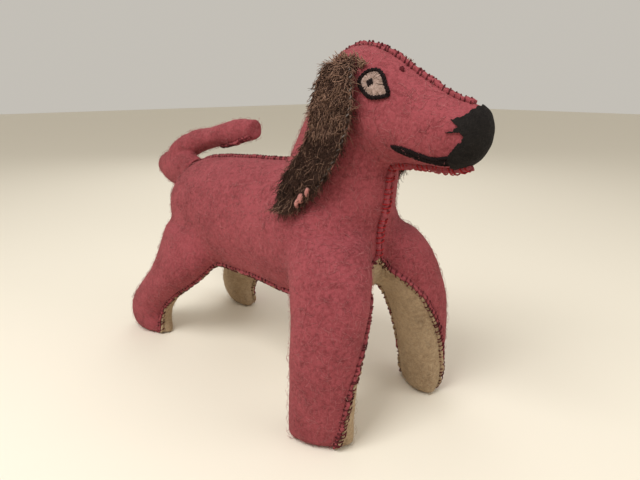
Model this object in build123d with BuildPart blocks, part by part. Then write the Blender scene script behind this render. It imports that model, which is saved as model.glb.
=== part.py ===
"""Standing toy dog, hand sewn from wool felt and stuffed with carded wool.

Frame: +X is the way the dog looks, +Y is its left side, +Z is up.  The origin lies
on the ground under the middle of the dog.  All sizes are in millimetres.
"""

from build123d import *
from math import cos, radians, sin
import os

# ---- driving dimensions -------------------------------------------------------------
wheelbase = 155.0          # front feet to rear feet, along X
front_track = 72.0         # right front foot to left front foot, along Y
rear_track = 69.0          # right rear foot to left rear foot
back_height = 115.0        # ground to the top of the back
trunk_depth = 68.0         # back to belly, at the middle of the trunk
trunk_width = 60.0         # flank to flank, at the middle of the trunk
crown_height = 170.0       # ground to the top of the head
head_length = 78.0         # back of the head to the tip of the snout
head_width = 36.0          # cheek to cheek
neck_length = 54.0         # fore-and-aft size of the neck where it meets the head
neck_width = 38.0          # side to side, at the same place

felt = 2.0                 # thickness of the body felt
proud = 1.1                # how far thread, embroidery and nose felt stand off the body felt
seam_width = 1.6           # width of a sewn seam across its stitches
clearance = 0.4            # room between pieces that move past each other

foot_length = 32.0         # the sewn-flat foot, heel to toe
foot_width = 16.0          # the same foot, across
foot_turn = 30.0           # the toes of the front feet turn inwards by this angle
crotch_height = 78.0       # top of the gusset between the legs
gusset_bow = 24.0          # half width of the gusset halfway up the legs

eye_size = 13.0            # eye with its outline, across
eye_line = 1.8             # width of the embroidered outline
pupil_size = 3.4
nose_length = 9.0          # how far the nose felt reaches back from the snout tip
mouth_line = 2.0           # width of the mouth stitch
knot_size = 2.4            # thread knot on the brow

ear_length = 61.0
ear_width = 22.0
ear_fur = 3.0              # thickness of the furry outside of an ear
ear_lining = 1.2           # thickness of its felt lining
ear_seam = 14.0            # length of the row of stitches that holds an ear

tail_depth = 27.0          # height of the tail where it meets the rump
tail_width = 13.0          # thickness of the tail from side to side, at the same place
tail_felt = 1.6            # thickness of the tail's felt
tail_tip = 11.0            # diameter of the free end
tail_reach = 99.0          # free end in front of the bend
tail_rise = 13.0           # middle of the free end above the top of the back
tail_lean = 12.5           # sideways offset of the free end, to the left

# ---- places worked out from them ------------------------------------------------------
shoulder_x = wheelbase / 2 - 11
hip_x = 20 - wheelbase / 2
trunk_middle = back_height - trunk_depth / 2
half_width = trunk_width / 2
half_depth = trunk_depth / 2
head_back = shoulder_x - 17
head_middle = crown_height - 20
snout_x = head_back + head_length
cheek = head_width / 2
far = 3 * wheelbase        # well outside the dog on every side


def section_plane(center, toward=(1, 0, 0), across=(0, 1, 0)):
    """Plane of one cross-section: `toward` is its normal, `across` its first axis."""
    return Plane(origin=center, x_dir=across, z_dir=toward)


def slab(x_range, y_range, z_range):
    """Plain block between two limits along each axis."""
    sizes = [high - low for low, high in (x_range, y_range, z_range)]
    middle = [(high + low) / 2 for low, high in (x_range, y_range, z_range)]
    with BuildPart() as block:
        with Locations(tuple(middle)):
            Box(*sizes)
    return block.part


def prism_across(points, y_low, y_high):
    """Block with a polygonal side view, given as (x, z) points, from y_low to y_high."""
    with BuildPart() as block:
        with BuildSketch(Plane.XZ.offset(-y_low)):
            with BuildLine():
                Polyline(*points, close=True)
            make_face()
        extrude(amount=-(y_high - y_low))
    return block.part


def overlap(first, second):
    """What two solids have in common."""
    with BuildPart() as common:
        add(first)
        add(second, mode=Mode.INTERSECT)
    return common.part


def without(first, *others):
    """The first solid with the others cut away."""
    with BuildPart() as rest:
        add(first)
        for other in others:
            add(other, mode=Mode.SUBTRACT)
    return rest.part


def both_sides(left_half):
    """A left half and its mirror image, joined."""
    with BuildPart() as whole:
        add(left_half)
        mirror(about=Plane.XZ)
    return whole.part


def mirrored(left_piece):
    """The right-hand copy of a left piece."""
    with BuildPart() as copy:
        add(left_piece)
        mirror(about=Plane.XZ, mode=Mode.REPLACE)
    return copy.part


def save(part, name):
    part.label = name
    export_step(part, f"parts/{name}.step")


def save_pair(left_piece, name):
    """Write a left piece and its mirror image as two nodes."""
    save(left_piece, f"left_{name}")
    save(mirrored(left_piece), f"right_{name}")


# ---- body form: rings of elliptical section -------------------------------------------
# Each ring is (place along the part, middle height, half width, half height).

def trunk_rings():
    return [
        (hip_x - 26.5, trunk_middle + 1, 6, 7),
        (hip_x - 22, trunk_middle + 1, half_width - 14, half_depth - 18.5),
        (hip_x - 10, trunk_middle - 1, half_width - 5, half_depth - 7.5),
        (hip_x + 12, trunk_middle - 2, half_width, half_depth - 1.5),
        ((hip_x + shoulder_x) / 2, trunk_middle, half_width, half_depth),
        (shoulder_x - 22, trunk_middle + 1, half_width + 2, half_depth),
        (shoulder_x - 2, trunk_middle + 3, half_width - 2, half_depth - 5),
        (shoulder_x + 8, trunk_middle + 5, half_width - 14, half_depth - 15),
        (shoulder_x + 10.5, trunk_middle + 6, 6, 8),
    ]


def head_rings():
    return [
        (head_back - 2, head_middle + 4, 5, 6),
        (head_back + 5, head_middle + 3, cheek - 6, 12.5),
        (head_back + 16, head_middle, cheek - 1, 19.5),
        (head_back + 29, head_middle - 5.5, cheek, 22),
        (head_back + 42, head_middle - 9.5, cheek - 2.5, 19.3),
        (snout_x - 22, head_middle - 13.5, cheek - 5.5, 15.5),
        (snout_x - 10, head_middle - 15.5, cheek - 7.5, 12.8),
        (snout_x - 3, head_middle - 14, cheek - 10, 9.5),
        (snout_x - 0.5, head_middle - 13, 4, 5),
    ]


# Neck rings are level: (height, middle along X, half length, half width).

def neck_rings():
    half_length = neck_length / 2
    neck_half = neck_width / 2
    return [
        (back_height - 32, shoulder_x - 23, half_length - 2, neck_half + 4),
        (back_height - 9, shoulder_x - 17, half_length + 5, neck_half + 5),
        (back_height + 4, shoulder_x - 13, half_length + 2, neck_half + 2),
        (back_height + 16, shoulder_x - 9, half_length - 1, neck_half),
        (head_middle - 4, shoulder_x - 4, half_length - 5, neck_half - 2),
    ]


# Leg rings are level too: (height, middle x, middle y, half length, half width, turn).

def front_leg_rings():
    foot_x, foot_y = wheelbase / 2, front_track / 2
    return [
        (0, foot_x, foot_y, foot_length / 2, foot_width / 2, foot_turn),
        (18, foot_x, foot_y - 0.5, foot_length / 2 - 0.5, foot_width / 2 + 2.5, foot_turn - 6),
        (45, foot_x - 1, foot_y - 4, foot_length / 2 + 1, foot_width / 2 + 5.5, foot_turn / 2),
        (68, foot_x - 6, foot_y - 11, foot_length / 2 + 4, foot_width / 2 + 8, 5),
        (88, shoulder_x - 8, foot_y - 19, foot_length / 2 + 7, foot_width / 2 + 6, 0),
    ]


def rear_leg_rings():
    foot_x, foot_y = 1 - wheelbase / 2, rear_track / 2
    return [
        (0, foot_x - 4, foot_y, foot_length / 2 - 1, foot_width / 2, foot_turn / 2),
        (11, foot_x - 9, foot_y, foot_length / 2 + 0.5, foot_width / 2 + 2, foot_turn / 3),
        (30, foot_x + 4, foot_y - 3, foot_length / 2 + 3, foot_width / 2 + 4.5, 5),
        (50, hip_x + 4, foot_y - 9, foot_length / 2 + 8, foot_width / 2 + 7, 0),
        (72, hip_x + 10, foot_y - 17, foot_length / 2 + 12, foot_width / 2 + 8, 0),
    ]


def grown_span(rings, grow):
    """Places of rings along their part when both its ends move out by `grow`."""
    first, last = rings[0][0], rings[-1][0]
    stretch = (abs(last - first) + 2 * grow) / abs(last - first)
    middle = (first + last) / 2
    return [middle + (ring[0] - middle) * stretch for ring in rings]


def loft_lengthwise(rings, grow):
    """Trunk or head: upright rings along X, each wider and higher by `grow`."""
    with BuildPart() as body:
        for x, (_, z, half_y, half_z) in zip(grown_span(rings, grow), rings):
            with BuildSketch(section_plane((x, 0, z))):
                Ellipse(half_y + grow, half_z + grow)
        loft()
    return body.part


def loft_neck(grow):
    with BuildPart() as body:
        for z, x, half_x, half_y in neck_rings():
            with BuildSketch(Plane.XY.offset(z)):
                with Locations((x, 0)):
                    Ellipse(half_x + grow, half_y + grow)
        loft()
    return body.part


def loft_leg(rings, grow):
    """A left leg, its foot on the ground, thicker by `grow` all round and at the sole."""
    with BuildPart() as body:
        for number, (z, x, y, half_x, half_y, turn) in enumerate(rings):
            height = z - grow if number == 0 else z
            with BuildSketch(Plane.XY.offset(height)):
                with Locations(Location((x, y, 0), (0, 0, -turn))):
                    Ellipse(half_x + grow, half_y + grow)
        loft()
    return body.part


left_space = slab((-far, far), (0, far), (-far, far))


def left_form(grow):
    """Left half of the stuffed form, larger by `grow` all round, cut at the middle plane."""
    with BuildPart() as form:
        add(loft_lengthwise(trunk_rings(), grow))
        add(loft_neck(grow))
        add(loft_lengthwise(head_rings(), grow))
        add(loft_leg(front_leg_rings(), grow))
        add(loft_leg(rear_leg_rings(), grow))
        add(left_space, mode=Mode.INTERSECT)
    return form.part


def between(rings, place):
    """Ring sizes at a place between two rings, or None beyond the ends."""
    ordered = sorted(rings)
    for low, high in zip(ordered, ordered[1:]):
        if low[0] <= place <= high[0]:
            share = (place - low[0]) / (high[0] - low[0])
            return [a + (b - a) * share for a, b in zip(low[1:], high[1:])]
    return None


def side_of_body(x, z):
    """How far out the side of the trunk, neck or head lies at a point of the side view."""
    reach = [0.0]
    for rings in (trunk_rings(), head_rings()):
        ring = between(rings, x)
        if ring and abs(z - ring[0]) < ring[2]:
            reach.append(ring[1] * (1 - ((z - ring[0]) / ring[2]) ** 2) ** 0.5)
    ring = between(neck_rings(), z)
    if ring and abs(x - ring[0]) < ring[1]:
        reach.append(ring[2] * (1 - ((x - ring[0]) / ring[1]) ** 2) ** 0.5)
    return max(reach)


os.makedirs("parts", exist_ok=True)
outside = left_form(0)
inside = left_form(-felt)
raised = left_form(proud)


# ---- felt panels: the skin between the two forms, shared out at the seams ---------------

def gusset_region(spare):
    """Left half of the space between the legs that the underbody fills, wider by `spare`."""
    foot_y = front_track / 2 + 0.5 + spare
    with BuildPart() as region:
        with BuildSketch(Plane.YZ.offset(-far)):
            with BuildLine():
                side = ThreePointArc(
                    (0, crotch_height + spare),
                    (gusset_bow + spare, crotch_height * 0.62 + spare / 2),
                    (foot_y, -5),
                )
                Polyline(side @ 1, (0, -5), side @ 0)
            make_face()
        extrude(amount=2 * far)
    return region.part


gusset = gusset_region(0)
skin = without(outside, inside)
save_pair(without(skin, gusset), "side_panel")
save(both_sides(overlap(skin, gusset)), "underbody_panel")

# ---- stuffing: one lump of carded wool for the head, the body and each leg --------------
neck_cut = back_height + 4
leg_cut = back_height - trunk_depth - 2
head_space = slab((-far, far), (0, far), (neck_cut, far))
body_space = slab((-far, far), (0, far), (leg_cut, neck_cut))
save(both_sides(overlap(inside, head_space)), "head_stuffing")
save(both_sides(overlap(inside, body_space)), "body_stuffing")
save_pair(overlap(inside, slab((0, far), (0, far), (0, leg_cut))), "front_leg_stuffing")
save_pair(overlap(inside, slab((-far, 0), (0, far), (0, leg_cut))), "rear_leg_stuffing")

# ---- what lies on the felt: nose, mouth, eyes and brow knot -----------------------------
surface_layer = without(raised, outside)
nose_back = snout_x - nose_length
nose_space = prism_across(
    [
        (nose_back + 4, head_middle + 20),
        (nose_back + 4, head_middle - 5),
        (nose_back, head_middle - 11),
        (nose_back + 3, head_middle - 16),
        (nose_back - 1, head_middle - 24),
        (nose_back, head_middle - 40),
        (snout_x + 20, head_middle - 40),
        (snout_x + 20, head_middle + 20),
    ],
    0, cheek,
)
save(both_sides(overlap(surface_layer, nose_space)), "nose_patch")

mouth_corner = (head_back + 48, head_middle - 20)
mouth_middle = (head_back + 56, head_middle - 23.5)
mouth_front = (nose_back + 1, head_middle - 24)
mouth_space = prism_across(
    [
        mouth_corner,
        (mouth_middle[0], mouth_middle[1] + mouth_line / 2),
        (mouth_front[0], mouth_front[1] + mouth_line),
        mouth_front,
        (mouth_middle[0], mouth_middle[1] - mouth_line / 2),
    ],
    cheek - 15, cheek + 5,
)
save_pair(without(overlap(surface_layer, mouth_space), nose_space), "mouth_thread")

eye_x = head_back + 35.5
eye_z = head_middle + 3


cheek_plane = Plane(origin=(eye_x, cheek / 3, eye_z), x_dir=(1, 0, 0), z_dir=(0, -1, 0))


def eye_space(size):
    """Rounded, slightly pointed eye shape of the given width, across the left cheek."""
    half = size / 2
    with BuildPart() as shape:
        with BuildSketch(cheek_plane):
            with BuildLine():
                Polyline(
                    (-half, half * 0.15), (-half * 0.55, half * 0.9), (half * 0.3, half),
                    (half, -half * 0.45), (half * 0.45, -half), (-half * 0.5, -half * 0.85),
                    close=True,
                )
            make_face()
            fillet(vertices(), radius=half * 0.3)
        extrude(amount=-cheek)
    return shape.part


eye_shape = eye_space(eye_size)
eye_inside = eye_space(eye_size - 2 * eye_line)
with BuildPart() as pupil_space:
    with BuildSketch(cheek_plane):
        with Locations((-1, 0)):
            Circle(pupil_size / 2)
    extrude(amount=-cheek)
save_pair(without(overlap(surface_layer, eye_shape), eye_inside), "eye_outline")
save_pair(without(overlap(surface_layer, eye_inside), pupil_space.part), "eye_white")
save_pair(overlap(surface_layer, pupil_space.part), "eye_pupil")

with BuildPart() as knot_space:
    with BuildSketch(Plane.XY.offset(head_middle)):
        with Locations((head_back + 42, cheek / 3)):
            Circle(knot_size / 2)
    extrude(amount=crown_height)
save(mirrored(overlap(surface_layer, knot_space.part)), "brow_knot")

# ---- seam threads: narrow ribs of stitches along every seam ----------------------------
seam_half = seam_width / 2
middle_rib = overlap(surface_layer, slab((-far, far), (0, seam_half), (-far, far)))
middle_rib = without(middle_rib, nose_space)
nape = (head_back - 4, head_middle)
head_side = prism_across(
    [nape, (snout_x, head_middle - 8), (far, head_middle - 8), (far, far), (nape[0], far)],
    -1, cheek,
)
back_side = prism_across(
    [nape, (nape[0], far), (-far, far), (hip_x - 9, trunk_middle), (shoulder_x - 30, trunk_middle)],
    -1, cheek,
)
chest_side = prism_across(
    [(shoulder_x - 14, trunk_middle), (shoulder_x - 14, 20), (far, 20), (far, head_middle - 10),
     (snout_x, head_middle - 10)],
    -1, cheek,
)
above_gusset = slab((-far, far), (-1, far), (crotch_height + seam_half, far))
save(both_sides(overlap(middle_rib, head_side)), "head_seam_thread")
save(both_sides(overlap(middle_rib, back_side)), "back_seam_thread")
save(both_sides(overlap(overlap(middle_rib, chest_side), above_gusset)), "chest_seam_thread")

gusset_edge = without(gusset_region(seam_half), gusset_region(-seam_half))
off_the_ground = slab((-far, far), (seam_half, far), (proud, far))
gusset_rib = overlap(overlap(surface_layer, gusset_edge), off_the_ground)
save_pair(gusset_rib, "underbody_seam_thread")

# ---- ears: a furry outside and a felt lining, hanging from a row of stitches ------------
ear_top = (head_back + 19.5, crown_height - 8)
seam_radius = seam_width / 2
ear_gap = clearance + 0.8
# (share of the length down from the stitches, distance behind them, share of the width)
ear_rings = [
    (0.00, 0.0, 0.64), (0.09, -0.5, 0.78), (0.24, 0.0, 0.94), (0.47, 2.5, 0.95),
    (0.64, 7.5, 1.00), (0.80, 14.0, 1.00), (0.92, 18.5, 0.78), (1.00, 21.0, 0.36),
]


def widest_side(x, z, half):
    """Furthest the body reaches sideways behind a piece that spans x - half to x + half."""
    return max(side_of_body(x + step * half, z) for step in (-1, -0.5, 0, 0.5, 1))


ear_hinge_y = widest_side(ear_top[0], ear_top[1], ear_seam / 2) + seam_radius + 0.1


def ear_layer(inner, thickness, narrower):
    """One layer of the left ear, from `inner` to `inner + thickness` off the head."""
    with BuildPart() as layer:
        for down, behind, width in ear_rings:
            z = ear_top[1] - seam_radius - clearance - down * ear_length
            x = ear_top[0] - behind
            half = width * ear_width / 2
            if down == 0:
                body_side = ear_hinge_y + clearance
            else:
                body_side = widest_side(x, z, half) + ear_gap
            with BuildSketch(Plane.XY.offset(z)):
                with Locations((x, body_side + inner + thickness / 2)):
                    RectangleRounded(2 * (half - narrower), thickness, thickness * 0.45)
        loft()
    return layer.part


save_pair(ear_layer(0, ear_lining, 1.0), "ear_lining")
save_pair(ear_layer(ear_lining, ear_fur, 0), "ear_fur")

with BuildPart() as ear_stitches:
    stitch_start = (ear_top[0] - ear_seam / 2, ear_hinge_y, ear_top[1])
    with BuildSketch(section_plane(stitch_start)):
        Circle(seam_radius)
    extrude(amount=ear_seam)
save_pair(without(ear_stitches.part, outside), "ear_stitches")

# ---- tail: a tapered felt tube, stuffed, folded forward over the rump -------------------
# It swings about the slanted row of stitches that joins it to the rump.
root_half = tail_depth / 2
root_round = tail_width / 2
root_lean = radians(45)
root_stitch = 1.2          # radius of the roll of stitches between rump and tail
root_upward = (cos(root_lean), 0, sin(root_lean))
root_outward = (-sin(root_lean), 0, cos(root_lean))
root_axis = (hip_x - 23.2, 0, trunk_middle + 16.3)
root_middle = tuple(a + o * (root_stitch + clearance) for a, o in zip(root_axis, root_outward))
tail_back = -(snout_x + proud - 0.5)
bend_x = tail_back + 20
bend_z = back_height - 16.5
tip_radius = tail_tip / 2
tip = (tail_back + tail_reach, tail_lean, back_height + tail_rise)


def tail_form(grow):
    """The stuffed tail, larger by `grow` all round."""
    # Lower part: (middle, upward direction of the section, half height, half thickness).
    lower_rings = [
        (root_middle, root_upward, root_half, root_round),
        ((bend_x + 2, 3, bend_z), (0, 0, 1), root_half - 1, root_round + 1),
        ((bend_x - 10, 4, bend_z), (0, 0, 1), root_half - 3.5, root_round + 0.5),
        ((tail_back - grow, 4.5, bend_z), (0, 0, 1), 5.5, 4.5),
    ]
    with BuildPart() as lower:
        for middle, up, half_up, half_thick in lower_rings:
            with BuildSketch(section_plane(middle, (-up[2], 0, up[0]), (0, 1, 0))):
                Ellipse(half_thick + grow, half_up + grow)
        loft()
    run = tip[0] - bend_x
    climb = tip[2] - bend_z
    upper_rings = [
        ((bend_x - 3, 4, bend_z - 2), (0, 0, 1), root_round + 0.1),
        ((bend_x + 6, 5.5, bend_z + climb * 0.38), (0.75, 0, 0.6), 8.2),
        ((bend_x + run * 0.36, 8, bend_z + climb * 0.68), (0.9, 0, 0.36), 7.0),
        ((bend_x + run * 0.63, 9.5, bend_z + climb * 0.83), (1, 0, 0.28), 6.7),
        (tip, (1, 0, 0.1), tip_radius),
    ]
    with BuildPart() as upper:
        for number, (middle, toward, radius) in enumerate(upper_rings):
            end = grow if number == len(upper_rings) - 1 else 0
            place = (middle[0] + end, middle[1], middle[2])
            with BuildSketch(section_plane(place, toward, (0, 1, 0))):
                Circle(radius + grow)
        loft()
    with BuildPart() as whole:
        add(lower.part)
        add(upper.part)
    return whole.part


tail_inside = tail_form(-tail_felt)

save(without(tail_form(0), tail_inside), "tail_felt")
save(tail_inside, "tail_stuffing")

stitch_half = root_half - 3
stitch_low = tuple(a - u * stitch_half for a, u in zip(root_axis, root_upward))
with BuildPart() as tail_stitches:
    with BuildSketch(section_plane(stitch_low, root_upward)):
        Circle(root_stitch)
    extrude(amount=2 * stitch_half)
save(without(tail_stitches.part, both_sides(raised)), "tail_stitches")
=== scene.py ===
# %% [markdown]
# # A hand-sewn felt dog
# The real toy is cut from three pieces of thick wool felt: a left side, a right side
# and an underbody that also makes the inner legs. They are whip-stitched with their
# edges left outside, then stuffed with carded wool. The CAD holds the true sizes, so
# this lesson starts by loading it and never moves it.

from math import cos, pi, radians, sin

import bmesh
import bpy
import numpy as np
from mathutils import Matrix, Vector, noise
from mathutils.bvhtree import BVHTree


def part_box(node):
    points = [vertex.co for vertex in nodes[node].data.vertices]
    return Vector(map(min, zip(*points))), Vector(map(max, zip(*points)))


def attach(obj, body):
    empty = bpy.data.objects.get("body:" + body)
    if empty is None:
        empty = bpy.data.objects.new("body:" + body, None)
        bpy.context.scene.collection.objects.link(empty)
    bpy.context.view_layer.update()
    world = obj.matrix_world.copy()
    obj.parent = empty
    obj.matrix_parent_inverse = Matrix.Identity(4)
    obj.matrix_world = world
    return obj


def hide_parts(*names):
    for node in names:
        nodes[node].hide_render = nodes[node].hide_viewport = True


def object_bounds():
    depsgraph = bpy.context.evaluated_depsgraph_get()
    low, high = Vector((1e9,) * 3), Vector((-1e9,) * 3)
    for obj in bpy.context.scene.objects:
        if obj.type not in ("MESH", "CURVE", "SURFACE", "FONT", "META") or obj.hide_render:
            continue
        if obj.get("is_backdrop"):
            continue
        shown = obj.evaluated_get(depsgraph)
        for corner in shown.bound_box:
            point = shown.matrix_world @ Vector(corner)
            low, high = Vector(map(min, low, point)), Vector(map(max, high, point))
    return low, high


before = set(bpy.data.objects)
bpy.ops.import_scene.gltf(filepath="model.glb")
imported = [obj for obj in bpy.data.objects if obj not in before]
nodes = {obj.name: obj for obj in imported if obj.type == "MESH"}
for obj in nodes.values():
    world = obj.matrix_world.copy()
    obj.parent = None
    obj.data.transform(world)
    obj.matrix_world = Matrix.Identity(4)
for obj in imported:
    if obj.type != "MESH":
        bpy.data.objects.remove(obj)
cad_low, cad_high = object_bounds()
MM = 0.001
rng = np.random.default_rng(7)
print("frame:", len(nodes), "nodes, box", tuple(cad_low), tuple(cad_high))

# %% [markdown]
# ## Camera, light and floor
# A camera a little above the dog and in front of its right side shows the face, the
# chest and three legs. Light comes from large soft lamps, so that the felt's nap shows
# without hard shadows, and the floor and backdrop stay pale and plain.

# %% Camera and light
scene = bpy.context.scene
scene.view_settings.view_transform = "Standard"

camera_data = bpy.data.cameras.new("camera")
camera_data.sensor_width = 36.0
camera_data.lens = 30.94
camera = bpy.data.objects.new("camera", camera_data)
scene.collection.objects.link(camera)
scene.camera = camera
camera.location = (0.2329, -0.1819, 0.1534)
camera.rotation_euler = (radians(90 - 15.9), 0, radians(46.9))


def soft_lamp(name, place, target, size, power):
    """A square area lamp that faces its target."""
    data = bpy.data.lights.new(name, "AREA")
    data.size = size
    data.energy = power
    lamp = bpy.data.objects.new(name, data)
    lamp.location = place
    lamp.rotation_euler = (Vector(target) - Vector(place)).to_track_quat("-Z", "Y").to_euler()
    scene.collection.objects.link(lamp)


middle = (cad_low + cad_high) / 2
soft_lamp("key_lamp", (0.10, -0.42, 0.62), middle, 0.35, 3.6)
soft_lamp("fill_lamp", (0.65, 0.25, 0.45), middle, 0.5, 1.1)
soft_lamp("back_lamp", (-0.55, 0.45, 0.5), middle, 0.5, 1.1)


def plain_material(name, colour, roughness):
    """A Principled material in one colour, for the stage only."""
    material = bpy.data.materials.new(name)
    material.use_nodes = True
    shader = material.node_tree.nodes["Principled BSDF"]
    shader.inputs["Base Color"].default_value = (*colour, 1)
    shader.inputs["Roughness"].default_value = roughness
    return material


world = bpy.data.worlds.new("studio")
scene.world = world
world.use_nodes = True
background = world.node_tree.nodes["Background"]
background.inputs["Color"].default_value = (1.0, 0.95, 0.86, 1)
background.inputs["Strength"].default_value = 0.55


def stage_plane(name, corners, colour):
    mesh = bpy.data.meshes.new(name)
    mesh.from_pydata(corners, [], [(0, 1, 2, 3)])
    plane = bpy.data.objects.new(name, mesh)
    scene.collection.objects.link(plane)
    mesh.materials.append(plain_material(name, colour, 0.9))
    plane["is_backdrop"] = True
    return plane


reach = 3.0
stage_plane("floor", [(-reach, -reach, 0), (reach, -reach, 0), (reach, reach, 0),
                      (-reach, reach, 0)], (0.86, 0.80, 0.68))
print("camera and lamps placed")

# %% [markdown]
# ## Wool felt
# Felt has no weave. Its surface is a mat of short fibres: the colour is mottled at
# about a millimetre, pale single hairs cross it at every angle, and the height follows
# the mottle. One node group makes that mat, and each felt gives it its own colours.


# %% Felt node group
def new_group(name, inputs, outputs):
    """An empty shader node group with its sockets."""
    group = bpy.data.node_groups.new(name, "ShaderNodeTree")
    for label, kind, value in inputs:
        socket = group.interface.new_socket(name=label, in_out="INPUT", socket_type=kind)
        socket.default_value = value
    for label, kind in outputs:
        group.interface.new_socket(name=label, in_out="OUTPUT", socket_type=kind)
    return group, group.nodes.new("NodeGroupInput"), group.nodes.new("NodeGroupOutput")


def noise_node(tree, vector, scale, detail, roughness=0.5, distortion=0.0):
    node = tree.nodes.new("ShaderNodeTexNoise")
    node.inputs["Scale"].default_value = scale
    node.inputs["Detail"].default_value = detail
    node.inputs["Roughness"].default_value = roughness
    node.inputs["Distortion"].default_value = distortion
    tree.links.new(vector, node.inputs["Vector"])
    return node.outputs["Fac"]


def ramp(tree, value, low, high):
    """Stretch a value so that low becomes 0 and high becomes 1."""
    node = tree.nodes.new("ShaderNodeMapRange")
    node.inputs["From Min"].default_value = low
    node.inputs["From Max"].default_value = high
    tree.links.new(value, node.inputs["Value"])
    return node.outputs["Result"]


def mix_colours(tree, factor, first, second):
    node = tree.nodes.new("ShaderNodeMix")
    node.data_type = "RGBA"
    tree.links.new(factor, node.inputs["Factor"])
    tree.links.new(first, node.inputs["A"])
    tree.links.new(second, node.inputs["B"])
    return node.outputs["Result"]


def math_node(tree, operation, first, second):
    node = tree.nodes.new("ShaderNodeMath")
    node.operation = operation
    for socket, value in zip(node.inputs, (first, second)):
        if isinstance(value, (int, float)):
            socket.default_value = value
        else:
            tree.links.new(value, socket)
    return node.outputs["Value"]


def stretched(tree, vector, turn, scale):
    """The same coordinates turned and stretched, to draw hairs that run one way."""
    node = tree.nodes.new("ShaderNodeMapping")
    node.inputs["Rotation"].default_value = turn
    node.inputs["Scale"].default_value = scale
    tree.links.new(vector, node.inputs["Vector"])
    return node.outputs["Vector"]


def build_wool_mat():
    group, source, result = new_group(
        "wool_mat",
        [("Dark", "NodeSocketColor", (0.1, 0.02, 0.02, 1)),
         ("Main", "NodeSocketColor", (0.4, 0.1, 0.1, 1)),
         ("Hair", "NodeSocketColor", (0.6, 0.3, 0.3, 1)),
         ("Hairs", "NodeSocketFloat", 0.5)],
        [("Color", "NodeSocketColor"), ("Height", "NodeSocketFloat")],
    )
    place = group.nodes.new("ShaderNodeTexCoord").outputs["Object"]
    patches = noise_node(group, place, 55, 3, 0.6)
    mottle = noise_node(group, place, 620, 4, 0.62, 0.6)
    grain = noise_node(group, place, 1900, 3, 0.6)
    hair_height = None
    for turn, size in (((0.4, 0.3, 0.5), (2600, 160, 2600)), ((1.2, -0.5, 2.1), (2400, 2400, 150)),
                       ((-0.7, 0.9, 1.3), (150, 2500, 2500))):
        streak = noise_node(group, stretched(group, place, turn, size), 1.0, 2, 0.5, 0.8)
        streak = ramp(group, streak, 0.62, 0.74)
        if hair_height is None:
            hair_height = streak
        else:
            hair_height = math_node(group, "MAXIMUM", hair_height, streak)
    shade = math_node(group, "ADD", math_node(group, "MULTIPLY", patches, 0.45),
                      math_node(group, "MULTIPLY", mottle, 0.75))
    shade = math_node(group, "ADD", shade, math_node(group, "MULTIPLY", grain, 0.25))
    tone = ramp(group, shade, 0.55, 0.82)
    body = mix_colours(group, tone, source.outputs["Dark"], source.outputs["Main"])
    amount = math_node(group, "MULTIPLY", hair_height, source.outputs["Hairs"])
    colour = mix_colours(group, amount, body, source.outputs["Hair"])
    height = math_node(group, "ADD", math_node(group, "MULTIPLY", mottle, 0.9),
                       math_node(group, "MULTIPLY", hair_height, 0.35))
    height = math_node(group, "ADD", height, math_node(group, "MULTIPLY", grain, 0.35))
    group.links.new(colour, result.inputs["Color"])
    group.links.new(height, result.inputs["Height"])
    return group


wool_mat = build_wool_mat()


def wool_material(name, dark, main, hair, hairs=0.5, depth=0.0006, sheen=0.25):
    """Felt, fur or thread: the wool mat in three tones over a rough, softly shining base."""
    material = bpy.data.materials.new(name)
    material.use_nodes = True
    tree = material.node_tree
    shader = tree.nodes["Principled BSDF"]
    shader.inputs["Roughness"].default_value = 0.92
    shader.inputs["Specular IOR Level"].default_value = 0.15
    shader.inputs["Sheen Weight"].default_value = sheen
    shader.inputs["Sheen Roughness"].default_value = 0.6
    shader.inputs["Sheen Tint"].default_value = (*hair, 1)
    mat = tree.nodes.new("ShaderNodeGroup")
    mat.node_tree = wool_mat
    mat.inputs["Dark"].default_value = (*dark, 1)
    mat.inputs["Main"].default_value = (*main, 1)
    mat.inputs["Hair"].default_value = (*hair, 1)
    mat.inputs["Hairs"].default_value = hairs
    bump = tree.nodes.new("ShaderNodeBump")
    bump.inputs["Strength"].default_value = 0.7
    bump.inputs["Distance"].default_value = depth
    tree.links.new(mat.outputs["Color"], shader.inputs["Base Color"])
    tree.links.new(mat.outputs["Height"], bump.inputs["Height"])
    tree.links.new(bump.outputs["Normal"], shader.inputs["Normal"])
    return material


rose = wool_material("rose_felt", (0.17, 0.029, 0.034), (0.32, 0.066, 0.078), (0.50, 0.17, 0.17))
cream = wool_material("cream_felt", (0.25, 0.165, 0.095), (0.42, 0.30, 0.185), (0.60, 0.48, 0.34))
black = wool_material("black_felt", (0.004, 0.003, 0.003), (0.012, 0.010, 0.009),
                      (0.06, 0.05, 0.045), 0.35)
brown_fur = wool_material("brown_fur", (0.012, 0.006, 0.005), (0.075, 0.036, 0.026),
                          (0.22, 0.13, 0.09), 0.7, 0.0012)
tan_tuft = wool_material("tan_tuft", (0.14, 0.07, 0.045), (0.33, 0.19, 0.13), (0.5, 0.34, 0.26), 0.6)
pink_lining = wool_material("pink_lining", (0.30, 0.10, 0.09), (0.52, 0.22, 0.19),
                            (0.7, 0.42, 0.36))
maroon_thread = wool_material("maroon_thread", (0.030, 0.005, 0.006), (0.12, 0.020, 0.025),
                              (0.16, 0.04, 0.04), 0.3, 0.0002)
red_thread = wool_material("red_thread", (0.18, 0.008, 0.010), (0.36, 0.018, 0.022),
                           (0.5, 0.08, 0.08), 0.3, 0.0002)
black_thread = wool_material("black_thread", (0.004, 0.002, 0.002), (0.012, 0.007, 0.007),
                             (0.05, 0.03, 0.03), 0.3, 0.0002)
white_thread = wool_material("white_thread", (0.20, 0.13, 0.10), (0.45, 0.32, 0.27),
                             (0.68, 0.56, 0.50), 0.4, 0.0002)
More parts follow.
